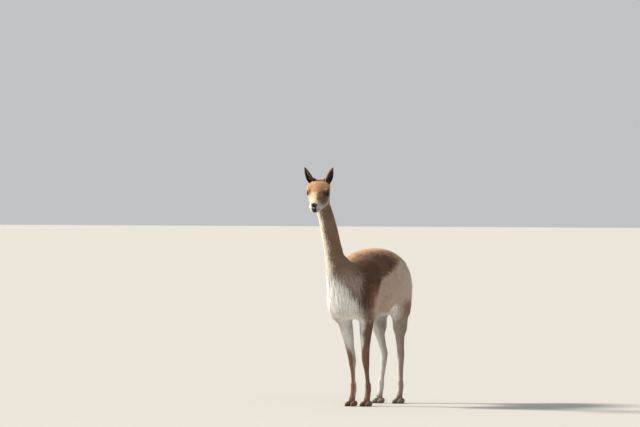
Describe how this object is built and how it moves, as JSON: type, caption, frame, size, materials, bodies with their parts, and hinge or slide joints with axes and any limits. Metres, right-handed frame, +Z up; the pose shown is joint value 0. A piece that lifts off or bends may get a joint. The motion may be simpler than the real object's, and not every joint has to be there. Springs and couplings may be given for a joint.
{
  "type": "vicuna",
  "caption": "Life-size still model of a standing vicuna with its head turned, long white chest hair, slender legs and padded two-toed feet.",
  "frame": {"origin": "on the floor, under the middle of the animal's bounding box", "axes": "+Z up, -Y the way the body faces, +X the animal's own left side"},
  "size_m": [0.306, 1.2486, 1.3217],
  "materials": {
    "coat": "soft cinnamon wool with white underparts",
    "eye": "wet dark eye",
    "nail": "dark horn"
  },
  "bodies": {
    "root": {"ear_left": "coat", "ear_right": "coat", "eye_left": "eye", "eye_right": "eye", "forefoot_left": "coat", "forefoot_right": "coat", "foreleg_left_lower": "coat", "foreleg_left_upper": "coat", "foreleg_right_lower": "coat", "foreleg_right_upper": "coat", "head": "coat", "hindfoot_left": "coat", "hindfoot_right": "coat", "hindleg_left_lower": "coat", "hindleg_left_upper": "coat", "hindleg_right_lower": "coat", "hindleg_right_upper": "coat", "nail_fore_left_inner": "nail", "nail_fore_left_outer": "nail", "nail_fore_right_inner": "nail", "nail_fore_right_outer": "nail", "nail_hind_left_inner": "nail", "nail_hind_left_outer": "nail", "nail_hind_right_inner": "nail", "nail_hind_right_outer": "nail", "neck": "coat", "tail": "coat", "torso": "coat"}
  },
  "joints": []
}
